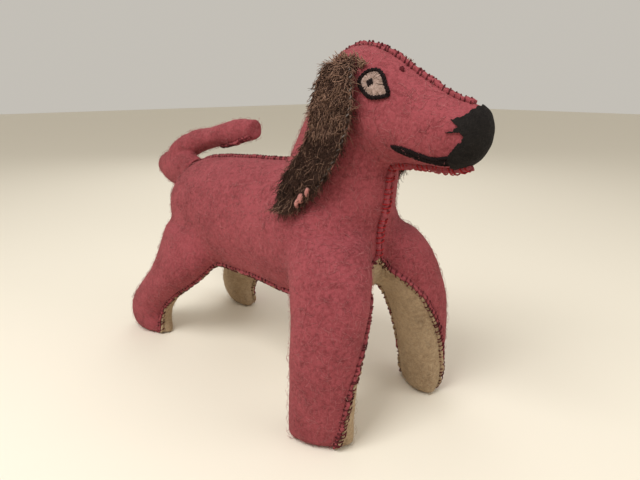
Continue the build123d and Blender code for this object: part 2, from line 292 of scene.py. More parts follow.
grey_thread = wool_material("grey_thread", (0.10, 0.085, 0.075), (0.25, 0.21, 0.19),
                            (0.4, 0.36, 0.33), 0.4, 0.0002)
stuffing_wool = wool_material("carded_wool", (0.45, 0.40, 0.30), (0.80, 0.74, 0.62),
                              (0.9, 0.86, 0.78))
print("materials made:", len(bpy.data.materials))

# %% [markdown]
# ## The stuffed form
# Felt over wool is one smooth, slightly lumpy form. The CAD panels and stuffing are
# fused into one closed mesh by voxels, and then relaxed, which rounds the creases
# where the legs and the neck meet the trunk, as stuffing does.


# %% The fused form
def link(name, mesh, material):
    piece = bpy.data.objects.new(name, mesh)
    scene.collection.objects.link(piece)
    mesh.materials.clear()
    mesh.materials.append(material)
    return piece


def fused(names, voxel):
    """One closed mesh around several CAD nodes, as vertices and faces."""
    joined = bmesh.new()
    for name in names:
        joined.from_mesh(nodes[name].data)
    mesh = bpy.data.meshes.new("fused")
    joined.to_mesh(mesh)
    joined.free()
    piece = bpy.data.objects.new("fused", mesh)
    scene.collection.objects.link(piece)
    remesh = piece.modifiers.new("voxels", "REMESH")
    remesh.mode = "VOXEL"
    remesh.voxel_size = voxel
    graph = bpy.context.evaluated_depsgraph_get()
    result = bpy.data.meshes.new_from_object(piece.evaluated_get(graph))
    bpy.data.objects.remove(piece)
    return largest_part(result)


def largest_part(mesh):
    """Keep only the biggest connected part of a mesh."""
    form = bmesh.new()
    form.from_mesh(mesh)
    seen, parts = set(), []
    for start in form.verts:
        if start.index in seen:
            continue
        part, stack = [], [start]
        seen.add(start.index)
        while stack:
            vert = stack.pop()
            part.append(vert)
            for edge in vert.link_edges:
                other = edge.other_vert(vert)
                if other.index not in seen:
                    seen.add(other.index)
                    stack.append(other)
        parts.append(part)
    parts.sort(key=len)
    for part in parts[:-1]:
        bmesh.ops.delete(form, geom=part, context="VERTS")
    form.to_mesh(mesh)
    form.free()
    return mesh


def vertices_of(mesh):
    spots = np.empty(len(mesh.vertices) * 3, np.float32)
    mesh.vertices.foreach_get("co", spots)
    return spots.reshape(-1, 3).astype(float)


def normals_of(mesh):
    ways = np.empty(len(mesh.vertices) * 3, np.float32)
    mesh.vertices.foreach_get("normal", ways)
    return ways.reshape(-1, 3).astype(float)


def set_vertices(mesh, spots):
    mesh.vertices.foreach_set("co", spots.astype(np.float32).ravel())
    mesh.update()


def relax(mesh, rounds, strength=0.5):
    """Move every vertex towards the mean of its neighbours, several times."""
    spots = vertices_of(mesh)
    pairs = np.empty(len(mesh.edges) * 2, np.int32)
    mesh.edges.foreach_get("vertices", pairs)
    pairs = pairs.reshape(-1, 2)
    count = np.bincount(pairs.ravel(), minlength=len(spots))[:, None]
    for _ in range(rounds):
        total = np.zeros_like(spots)
        np.add.at(total, pairs[:, 0], spots[pairs[:, 1]])
        np.add.at(total, pairs[:, 1], spots[pairs[:, 0]])
        spots = spots + (total / count - spots) * strength
    set_vertices(mesh, spots)


def lumps(spots, size, seed):
    """Smooth random height at each place, from -1 to 1; size is a lump's width in metres."""
    shift = Vector((seed * 3.1, seed * 1.7, seed * 2.3))
    return np.array([noise.noise(Vector(s) / size + shift) for s in spots])


PANELS = ["left_side_panel", "right_side_panel", "underbody_panel"]
STUFFING = [name for name in nodes if name.endswith("stuffing") and not name.startswith("tail")]
body_mesh = fused(PANELS + STUFFING, 1.5 * MM)
relax(body_mesh, 22)
spots = vertices_of(body_mesh)
spots += normals_of(body_mesh) * (lumps(spots, 0.018, 1) * 0.5 * MM
                                  + lumps(spots, 0.006, 2) * 0.22 * MM)[:, None]
spots[:, 2] -= spots[:, 2].min()
set_vertices(body_mesh, spots)
print("stuffed form:", len(body_mesh.vertices), "vertices")

# %% [markdown]
# ## Where the seams run
# The middle seam lies in the plane of symmetry. The underbody is cut to the arc that
# the CAD uses across the legs: narrow at the crotch, wide at the feet. The form is cut
# along both, and the three felts are taken from it.

# %% Cut the form into three felts
_, underbody_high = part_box("underbody_panel")
crotch = underbody_high.z
gusset_bow = (24 * MM, 0.62 * crotch)
gusset_foot = (36.5 * MM, -5 * MM)


def circle_through(a, b, c):
    """Centre and radius of the circle through three points of a plane."""
    d = 2 * (a[0] * (b[1] - c[1]) + b[0] * (c[1] - a[1]) + c[0] * (a[1] - b[1]))
    squares = [p[0] ** 2 + p[1] ** 2 for p in (a, b, c)]
    x = (squares[0] * (b[1] - c[1]) + squares[1] * (c[1] - a[1]) + squares[2] * (a[1] - b[1])) / d
    y = (squares[0] * (c[0] - b[0]) + squares[1] * (a[0] - c[0]) + squares[2] * (b[0] - a[0])) / d
    return x, y, ((a[0] - x) ** 2 + (a[1] - y) ** 2) ** 0.5


arc_y, arc_z, arc_radius = circle_through((0.0, crotch), gusset_bow, gusset_foot)


def outside_gusset(y, z):
    """How far a place lies outside the underbody's arc; negative inside it."""
    height = np.clip(np.asarray(z, float) - arc_z, -arc_radius, arc_radius)
    edge = arc_y + np.sqrt(arc_radius ** 2 - height ** 2)
    return np.where(np.asarray(z) > crotch, 1.0, np.abs(y) - edge)


form = bmesh.new()
form.from_mesh(body_mesh)
bmesh.ops.bisect_plane(form, geom=form.verts[:] + form.edges[:] + form.faces[:],
                       plane_co=(0, 0, 0), plane_no=(0, 1, 0), dist=0.2 * MM)
for vert in form.verts:
    if vert.co.z < crotch and abs(vert.co.y) > 0.5 * MM:
        gap = float(outside_gusset(vert.co.y, vert.co.z))
        if abs(gap) < 0.7 * MM:
            vert.co.y -= gap * (1 if vert.co.y > 0 else -1)
form.to_mesh(body_mesh)
form.free()
body_tree = BVHTree.FromPolygons([v.co for v in body_mesh.vertices],
                                 [p.vertices for p in body_mesh.polygons])

UNDER, LEFT, RIGHT = 0, 1, 2
centres = np.array([p.center for p in body_mesh.polygons])
panel_of_face = np.where(outside_gusset(centres[:, 1], centres[:, 2]) < 0, UNDER,
                         np.where(centres[:, 1] > 0, LEFT, RIGHT))


def part_of_body(chosen, name, material):
    """The chosen faces of the form as a mesh of their own."""
    part = bmesh.new()
    part.from_mesh(body_mesh)
    part.faces.ensure_lookup_table()
    unwanted = [part.faces[i] for i in np.nonzero(~chosen)[0]]
    bmesh.ops.delete(part, geom=unwanted, context="FACES")
    mesh = bpy.data.meshes.new(name)
    part.to_mesh(mesh)
    part.free()
    for polygon in mesh.polygons:
        polygon.use_smooth = True
    return link(name, mesh, material)


def thicken(piece, thickness):
    """Give a surface the thickness of its felt, inwards, as real faces."""
    modifier = piece.modifiers.new("felt", "SOLIDIFY")
    modifier.thickness = thickness
    modifier.offset = -1
    graph = bpy.context.evaluated_depsgraph_get()
    mesh = bpy.data.meshes.new_from_object(piece.evaluated_get(graph))
    piece.modifiers.clear()
    piece.data = mesh
    return piece


FELT = 1.9 * MM
felts = {}
for number, name, node, material in ((UNDER, "underbody_felt", "underbody_panel", cream),
                                     (LEFT, "left_side_felt", "left_side_panel", rose),
                                     (RIGHT, "right_side_felt", "right_side_panel", rose)):
    felt = thicken(part_of_body(panel_of_face == number, name, material), FELT)
    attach(felt, "root")
    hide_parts(node)
    felts[number] = felt
    print(name, len(felt.data.polygons), "faces")

wool_mesh = body_mesh.copy()
wool_spots = vertices_of(wool_mesh) - normals_of(wool_mesh) * 2.4 * MM
set_vertices(wool_mesh, wool_spots)
wool_piece = link("carded_wool", wool_mesh, stuffing_wool)
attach(wool_piece, "root")
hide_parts(*STUFFING)

# %% [markdown]
# ## Edges and stitches
# Both felts keep their cut edges outside the seam, so each seam is a small ridge of two
# lips. A thread passes over the ridge every three millimetres, slanted, and pulls it
# into bumps. The seam lines are read off the cut form, and lips and stitches follow them.


# %% Seam lines
def chains(edges):
    """Join loose edges, given as vertex pairs, into long chains of vertices."""
    links = {}
    for a, b in edges:
        links.setdefault(a, []).append(b)
        links.setdefault(b, []).append(a)
    used, found = set(), []
    starts = [v for v, others in links.items() if len(others) != 2] + list(links)
    for start in starts:
        for other in links[start]:
            if (start, other) in used:
                continue
            chain = [start, other]
            used.update({(start, other), (other, start)})
            while len(links[chain[-1]]) == 2:
                onward = [v for v in links[chain[-1]] if (chain[-1], v) not in used]
                if not onward:
                    break
                used.update({(chain[-1], onward[0]), (onward[0], chain[-1])})
                chain.append(onward[0])
            found.append(chain)
    return [chain for chain in found if len(chain) > 12]


def even_path(points, step):
    """Smooth a path and place its points evenly."""
    points = np.asarray(points, float)
    for _ in range(6):
        points[1:-1] = points[1:-1] * 0.5 + (points[:-2] + points[2:]) * 0.25
    along = np.concatenate([[0], np.cumsum(np.linalg.norm(np.diff(points, axis=0), axis=1))])
    count = max(4, int(along[-1] / step))
    places = np.linspace(0, along[-1], count)
    return np.stack([np.interp(places, along, points[:, i]) for i in range(3)], axis=1)


def surface_frame(path, tree=None):
    """Surface point, outward normal, tangent and sideways direction along a path."""
    tree = tree or body_tree
    places, normals = [], []
    for point in path:
        place, normal, _, _ = tree.find_nearest(Vector(point))
        places.append(place)
        normals.append(normal)
    places, normals = np.array(places), np.array(normals)
    for _ in range(4):
        normals[1:-1] = normals[1:-1] * 0.5 + (normals[:-2] + normals[2:]) * 0.25
    normals /= np.linalg.norm(normals, axis=1)[:, None]
    tangents = np.gradient(places, axis=0)
    tangents /= np.linalg.norm(tangents, axis=1)[:, None] + 1e-12
    sides = np.cross(tangents, normals)
    sides /= np.linalg.norm(sides, axis=1)[:, None] + 1e-12
    return places, normals, tangents, sides


edge_faces = {}
for polygon in body_mesh.polygons:
    for key in polygon.edge_keys:
        edge_faces.setdefault(key, []).append(polygon.index)
seam_edges = {(LEFT, RIGHT): [], (UNDER, LEFT): [], (UNDER, RIGHT): []}
for key, faces in edge_faces.items():
    if len(faces) == 2:
        pair = tuple(sorted(panel_of_face[f] for f in faces))
        if pair[0] != pair[1]:
            seam_edges[pair].append(key)
form_spots = vertices_of(body_mesh)
seam_paths = {pair: [even_path(form_spots[chain], 0.6 * MM) for chain in chains(edges)]
              for pair, edges in seam_edges.items()}
for pair, paths in seam_paths.items():
    print("seam", pair, [round(len(path) * 0.6) for path in paths], "mm")


# %% Tubes and strips
class Shape:
    """Vertices and faces gathered from many small parts."""

    def __init__(self):
        self.verts, self.faces = [], []

    def loops(self, rings, closed_ends=True):
        """Skin a row of rings that all have the same number of points."""
        base, around = sum(len(v) for v in self.verts), rings.shape[1]
        self.verts.append(rings.reshape(-1, 3))
        for i in range(len(rings) - 1):
            for j in range(around):
                a, b = base + i * around + j, base + i * around + (j + 1) % around
                self.faces.append((a, b, b + around, a + around))
        if closed_ends:
            last = base + (len(rings) - 1) * around
            self.faces.append(tuple(range(base + around - 1, base - 1, -1)))
            self.faces.append(tuple(range(last, last + around)))

    def tube(self, path, radius, around=6, taper=0.0):
        """A round tube along a path; taper thins it towards the far end."""
        path = np.asarray(path, float)
        tangents = np.gradient(path, axis=0)
        tangents /= np.linalg.norm(tangents, axis=1)[:, None] + 1e-12
        first = np.array([0.31, 0.52, 0.79])
        sides = np.cross(tangents, first)
        sides /= np.linalg.norm(sides, axis=1)[:, None] + 1e-12
        others = np.cross(tangents, sides)
        angles = np.arange(around) * 2 * pi / around
        sizes = radius * (1 - taper * np.linspace(0, 1, len(path)))
        rings = (path[:, None] + sizes[:, None, None]
                 * (np.cos(angles)[None, :, None] * sides[:, None]
                    + np.sin(angles)[None, :, None] * others[:, None]))
        self.loops(rings)

    def piece(self, name, material, smooth=True):
        mesh = bpy.data.meshes.new(name)
        mesh.from_pydata(np.concatenate(self.verts).tolist(), [], self.faces)
        mesh.validate()
        if smooth:
            mesh.polygons.foreach_set("use_smooth", [True] * len(mesh.polygons))
        return link(name, mesh, material)


def wobble(count, size, seed, step=0.6):
    """A smooth random curve of the given size, one value per path point."""
    draws = [noise.noise(Vector((i * step * 0.45, seed * 7.7, 0.3))) for i in range(count)]
    return np.array(draws) * size


def lip(shape, frames, sign, height, seed):
    """One cut felt edge standing up along a seam."""
    places, normals, _, sides = frames
    tall = height + wobble(len(places), 1.0 * MM, seed)
    inner = (0.03 + wobble(len(places), 0.12, seed + 5)) * MM
    outline = ((0.0, -0.7 * MM, 0), (1.25 * MM, -0.8 * MM, 0), (1.35 * MM, 0.0, 0.55),
               (1.1 * MM, 0.0, 0.92), (0.6 * MM, 0.0, 1.0), (0.1 * MM, 0.0, 0.86))
    rings = np.stack([places + sides * (sign * (inner + across))[:, None]
                      + normals * (down + tall * share)[:, None]
                      for across, down, share in outline], axis=1)
    if sign < 0:
        rings = rings[:, ::-1]
    shape.loops(rings)


def over_stitches(shape, frames, pitch, height, radius, reach_across, slant, seed):
    """Slanted stitches that pass over a ridge from one side to the other."""
    places, normals, tangents, sides = frames
    draws = np.random.default_rng(seed)
    spacing = np.linalg.norm(places[1] - places[0])
    step = max(1, int(pitch / spacing))
    for start in range(2, len(places) - 3, step):
        i = int(np.clip(start + draws.integers(-1, 2), 0, len(places) - 1))
        lean = slant * draws.uniform(0.6, 1.4)
        wide = reach_across * draws.uniform(0.7, 1.1)
        path = []
        for across, up in ((-1, -0.25), (-0.82, 0.45), (-0.4, 1.0), (0, 1.12), (0.4, 1.0),
                           (0.82, 0.45), (1, -0.25)):
            path.append(places[i] + sides[i] * across * wide + tangents[i] * lean * across
                        + normals[i] * (height * up + radius * 0.5))
        shape.tube(path, radius * draws.uniform(0.85, 1.25), 5)


# %% Lips and stitches along every seam
SEAM_NAMES = {"head": "head_seam_thread", "back": "back_seam_thread", "chest": "chest_seam_thread"}
nose_low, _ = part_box("nose_patch")


def middle_seam_name(point):
    """Which of the three middle seams a place of the side view belongs to."""
    x, z = point[0], point[2]
    head_low, head_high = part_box("head_seam_thread")
    lowest = head_low.z + 0.35 * (head_high.z - head_low.z) * (x < 0.1)
    if x > head_low.x and z > lowest:
        return "head"
    chest_low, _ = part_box("chest_seam_thread")
    return "chest" if x > chest_low.x - 5 * MM else "back"


STITCH_PITCH = 3.0 * MM
THREAD = 0.30 * MM
STITCH_REACH = 1.9 * MM
STITCH_SLANT = 0.9 * MM
pink_lips, cream_lips = Shape(), Shape()
stitch_shapes = {name: Shape() for name in ("head", "back", "chest", "left", "right")}
seed = 20
for path in seam_paths[(LEFT, RIGHT)]:
    names = [middle_seam_name(point) for point in path]
    keep = [not (p[0] > nose_low.x + 3 * MM) for p in path]
    start = 0
    while start < len(path):
        end = start
        while end < len(path) and names[end] == names[start] and keep[end] == keep[start]:
            end += 1
        if end - start > 6 and keep[start]:
            frames = surface_frame(path[max(0, start - 1):end + 1])
            name = names[start]
            tall = {"head": 1.5, "back": 1.3, "chest": 2.4}[name] * MM
            lip(pink_lips, frames, 1, tall, seed)
            lip(pink_lips, frames, -1, tall, seed + 1)
            over_stitches(stitch_shapes[name], frames, STITCH_PITCH, tall, THREAD,
                          STITCH_REACH, STITCH_SLANT, seed)
            seed += 2
        start = end
for side, pair in (("left", (UNDER, LEFT)), ("right", (UNDER, RIGHT))):
    for path in seam_paths[pair]:
        frames = surface_frame(path)
        places, _, _, sides = frames
        probe = places + sides * 2 * MM
        gusset_is_plus = np.median(outside_gusset(probe[:, 1], probe[:, 2])) < 0
        lifted = places[:, 2] > 1.6 * MM
        runs = np.split(np.arange(len(path)), np.nonzero(np.diff(lifted.astype(int)))[0] + 1)
        for run in runs:
            if len(run) < 6:
                continue
            piece_frames = tuple(part[run] for part in frames)
            tall = 1.3 * MM if lifted[run[0]] else 0.25 * MM
            lip(cream_lips if gusset_is_plus else pink_lips, piece_frames, 1, tall, seed)
            lip(pink_lips if gusset_is_plus else cream_lips, piece_frames, -1, tall, seed + 1)
            if lifted[run[0]]:
                over_stitches(stitch_shapes[side], piece_frames, STITCH_PITCH, tall, THREAD,
                              STITCH_REACH, STITCH_SLANT, seed)
            seed += 2


def finish_piece(piece, body, slot_name, *replaced):
    """Attach a piece to the body it rides and hide the CAD nodes it stands for; slot_name is not used."""
    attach(piece, body)
    if replaced:
        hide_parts(*replaced)
    return piece


def above_ground(shape):
    """Lift whatever reaches into the floor to just above it."""
    for block in shape.verts:
        block[:, 2] = np.maximum(block[:, 2], 0.2 * MM)


for shape in [pink_lips, cream_lips, *stitch_shapes.values()]:
    above_ground(shape)
finish_piece(pink_lips.piece("side_felt_edges", rose), "root", "body_felt")
finish_piece(cream_lips.piece("underbody_felt_edges", cream), "root", "underbody_felt")
for name, node in SEAM_NAMES.items():
    material = red_thread if name == "chest" else maroon_thread
    finish_piece(stitch_shapes[name].piece(f"{name}_stitches", material), "root", "seam_thread", node)
for side in ("left", "right"):
    finish_piece(stitch_shapes[side].piece(f"{side}_underbody_stitches", maroon_thread), "root",
                 "seam_thread", f"{side}_underbody_seam_thread")
print("seams sewn")

# %% [markdown]
# ## Nose, mouth and eyes
# The nose is a patch of black felt round the tip of the snout, with two ragged lobes
# that point back. The mouth is a band of thick black thread laid on the cheek. Each eye
# is worked in white thread from the rim to the pupil, with a corded black rim that ends
# in a point at the front.


# %% Nose patch
def inside_outline(outline, x, z):
    """Whether a place of the side view lies inside an outline."""
    within = False
    for (x1, z1), (x2, z2) in zip(outline, outline[1:] + outline[:1]):
        if (z1 > z) != (z2 > z) and x < (x2 - x1) * (z - z1) / (z2 - z1) + x1:
            within = not within
    return within


def patch_on_form(name, outline, material, side, lift, thickness, cuts=4):
    """Felt laid on the form inside an outline of the side view; side 0 means both."""
    outline = [(x * MM, z * MM) for x, z in outline]
    low_x = min(x for x, _ in outline) - 2 * MM
    high_x = max(x for x, _ in outline) + 2 * MM
    low_z = min(z for _, z in outline) - 2 * MM
    patch = bmesh.new()
    patch.from_mesh(body_mesh)
    away = []
    for face in patch.faces:
        spot = face.calc_center_median()
        if not low_x < spot.x < high_x or spot.z < low_z or spot.y * side < -1 * MM:
            away.append(face)
    bmesh.ops.delete(patch, geom=away, context="FACES")
    bmesh.ops.subdivide_edges(patch, edges=patch.edges[:], cuts=cuts, use_grid_fill=True)
    away = []
    for face in patch.faces:
        spot = face.calc_center_median()
        ragged = noise.noise(spot / 0.0011) * 0.45 * MM
        if spot.y * side < 0 or not inside_outline(outline, spot.x + ragged, spot.z - ragged):
            away.append(face)
    bmesh.ops.delete(patch, geom=away, context="FACES")
    mesh = bpy.data.meshes.new(name)
    patch.to_mesh(mesh)
    patch.free()
    relax(mesh, 3)
    mesh.polygons.foreach_set("use_smooth", [True] * len(mesh.polygons))
    spots = vertices_of(mesh)
    height = lift + lumps(spots, 0.0035, 8) * 0.25 * lift
    set_vertices(mesh, spots + normals_of(mesh) * height[:, None])
    return thicken(link(name, mesh, material), thickness)


NOSE = [(124.6, 147.4), (123.3, 144.6), (121.4, 141.9), (117.2, 140.6), (119.4, 139.0),
        (120.8, 138.1), (115.8, 135.9), (121.2, 136.3), (122.4, 135.0), (121.6, 133.4),
        (119.4, 131.0), (117.2, 128.6), (115.8, 126.4), (115.2, 123.6), (116.0, 114.0),
        (140.0, 110.0), (140.0, 152.0), (126.0, 151.0)]
nose = patch_on_form("black_nose", NOSE, black, 0, 0.95 * MM, 1.3 * MM)
finish_piece(nose, "root", "nose_felt", "nose_patch")


# %% Threads laid on the cheeks
def on_cheek(x, z, side, lift=0.0):
    """A place on the side of the head, given in millimetres in the side view."""
    start = Vector((x * MM, side * 0.08, z * MM))
    place, normal, _, _ = body_tree.ray_cast(start, Vector((0, -side, 0)))
    if place is None:
        place, normal, _, _ = body_tree.find_nearest(Vector((x * MM, side * 0.006, z * MM)))
    return np.array(place + normal * lift)


def spline(points, count, closed=False):
    """A smooth path through points of the side view."""
    points = np.asarray(points, float)
    if closed:
        points = np.concatenate([points[-1:], points, points[:2]])
    else:
        points = np.concatenate([2 * points[:1] - points[1:2], points, 2 * points[-1:] - points[-2:-1]])
    spans = len(points) - 3
    found = []
    for t in np.linspace(0, spans, count, endpoint=not closed):
        i = min(int(t), spans - 1)
        f = t - i
        a, b, c, d = points[i:i + 4]
        found.append(0.5 * (2 * b + (c - a) * f + (2 * a - 5 * b + 4 * c - d) * f * f
                            + (3 * b - 3 * c + d - a) * f ** 3))
    return np.array(found)


def corded(shape, path, radius, twist):
    """Two strands twisted round a path."""
    path = np.asarray(path, float)
    tangents = np.gradient(path, axis=0)
    tangents /= np.linalg.norm(tangents, axis=1)[:, None] + 1e-12
    sides = np.cross(tangents, (0.2, 1.0, 0.3))
    sides /= np.linalg.norm(sides, axis=1)[:, None] + 1e-12
    others = np.cross(tangents, sides)
    length = np.concatenate([[0], np.cumsum(np.linalg.norm(np.diff(path, axis=0), axis=1))])
    for strand in (0, pi):
        angle = length / twist * 2 * pi + strand
        offset = radius * 0.55 * (np.cos(angle)[:, None] * sides + np.sin(angle)[:, None] * others)
        shape.tube(path + offset, radius * 0.62, 6)


MOUTH_TOP = [(93.0, 129.7), (96.5, 129.6), (99.9, 129.0), (104.3, 127.5), (110.8, 126.3), (118.0, 127.6)]
MOUTH_LOW = [(93.2, 129.4), (96.0, 127.9), (99.0, 126.7), (103.3, 125.3), (109.0, 124.3), (117.0, 123.6)]
EYE = [(78.8, 154.9), (80.6, 157.5), (83.9, 158.0), (87.0, 155.9), (89.3, 152.7), (91.5, 149.2),
       (88.2, 148.1), (84.5, 148.2), (81.3, 150.4), (79.1, 152.8)]
PUPIL = (83.4, 153.3)
for side, side_name in ((-1, "right"), (1, "left")):
    mouth = Shape()
    top, low = spline(MOUTH_TOP, 60), spline(MOUTH_LOW, 60)
    for strand, share in enumerate(np.linspace(0, 1, 5)):
        sway = wobble(60, 0.25, 60 + strand + side, 0.4)
        line = [on_cheek(*(a + (b - a) * np.clip(share + w, 0, 1)), side, 0.35 * MM)
                for a, b, w in zip(top, low, sway)]
        corded(mouth, line, 0.62 * MM, 2.4 * MM)
    finish_piece(mouth.piece(f"{side_name}_mouth", black_thread), "root", "black_thread",
                 f"{side_name}_mouth_thread")

    pad = patch_on_form(f"{side_name}_eye_pad", EYE, white_thread, side, 0.35 * MM, 0.8 * MM, 3)
    finish_piece(pad, "root", "white_thread")
    rim = spline(EYE, 90, closed=True)
    white = Shape()
    for number in range(78):
        x, z = rim[int(number * 90 / 78)]
        start = np.array(PUPIL) + (np.array((x, z)) - PUPIL) * rng.uniform(0.08, 0.2)
        turn = rng.uniform(-0.5, 0.5)
        line = []
        for share in (0, 0.25, 0.5, 0.75, 1):
            a = start + (np.array((x, z)) - start) * share
            dome = 0.45 + 0.45 * (1 - share) ** 0.5
            bend = turn * share * (1 - share) * 1.6
            line.append(on_cheek(a[0] + bend, a[1] - bend, side, dome * MM))
        white.tube(line, rng.uniform(0.20, 0.30) * MM, 5)
    finish_piece(white.piece(f"{side_name}_eye_threads", white_thread), "root", "white_thread",
                 f"{side_name}_eye_white")
    outline = Shape()
    closed_rim = np.concatenate([rim, rim[:2]])
    corded(outline, [on_cheek(x, z, side, 0.7 * MM) for x, z in closed_rim], 0.85 * MM, 3.0 * MM)
    finish_piece(outline.piece(f"{side_name}_eye_rim", black_thread), "root", "black_thread",
                 f"{side_name}_eye_outline")
    pupil = Shape()
    for shift in (-0.75, 0.0, 0.75):
        line = [on_cheek(PUPIL[0] + shift * 0.8 + t * 0.75, PUPIL[1] + shift * 0.5 - t * 1.15, side,
                         (1.15 - 0.5 * t * t) * MM) for t in (-1, -0.5, 0, 0.5, 1)]
        pupil.tube(line, 0.5 * MM, 6)
    finish_piece(pupil.piece(f"{side_name}_pupil", black_thread), "root", "black_thread",
                 f"{side_name}_eye_pupil")

knot_low, knot_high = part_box("brow_knot")
knot_place, knot_normal, _, _ = body_tree.find_nearest((knot_low + knot_high) / 2)
knot = Shape()
for turn in (0.2, 1.3, 2.4):
    across = Vector((cos(turn), 0, sin(turn)))
    line = [np.array(knot_place + across * t * 1.1 * MM + knot_normal * (1.1 - 0.9 * t * t) * MM)
            for t in (-1, -0.6, 0, 0.6, 1)]
    knot.tube(line, 0.45 * MM, 6)
finish_piece(knot.piece("brow_stitch", maroon_thread), "root", "seam_thread", "brow_knot")
print("face worked")

# %% [markdown]
# ## Ears
# Each ear is a long flap of brown curly fur, lined with thin pink felt that shows at the
# tip. The fur clumps, so the form is raised in lumps and grown over with short curled
# locks. A tan tuft with red threads covers the place where the ear is sewn on, and a
# grey looped thread edges its front.


# %% Fur, locks and lining
def curl(start, way, normal, length, loop, draws):
    """A lock that grows along the surface and curls as it goes."""
    other = np.cross(way, normal)
    phase, turns = draws.uniform(0, 2 * pi), draws.uniform(0.7, 1.6)
    path = []
    for t in np.linspace(0, 1, 6):
        angle = phase + turns * 2 * pi * t
        path.append(start + way * length * t + normal * (0.25 * MM + loop * t * (1 + 0.6 * np.sin(angle)))
                    + other * loop * np.cos(angle) * t)
    return path


def locks_on(mesh, amount, length, loop, radius, draws, chosen=None, down=(-0.25, 0, -1.0)):
    """Curled locks all over a mesh, pointing mostly down."""
    shape = Shape()
    spots, ways = vertices_of(mesh), normals_of(mesh)
    places = np.arange(len(spots)) if chosen is None else np.nonzero(chosen(spots, ways))[0]
    for i in draws.choice(places, amount):
        normal = ways[i] / (np.linalg.norm(ways[i]) + 1e-9)
        way = np.array(down) + draws.normal(0, 0.55, 3)
        way -= normal * np.dot(way, normal)
        way /= np.linalg.norm(way) + 1e-9
        path = curl(spots[i], way, normal, length * draws.uniform(0.5, 1.3), loop, draws)
        shape.tube(path, radius * draws.uniform(0.7, 1.4), 3, taper=0.5)
    return shape


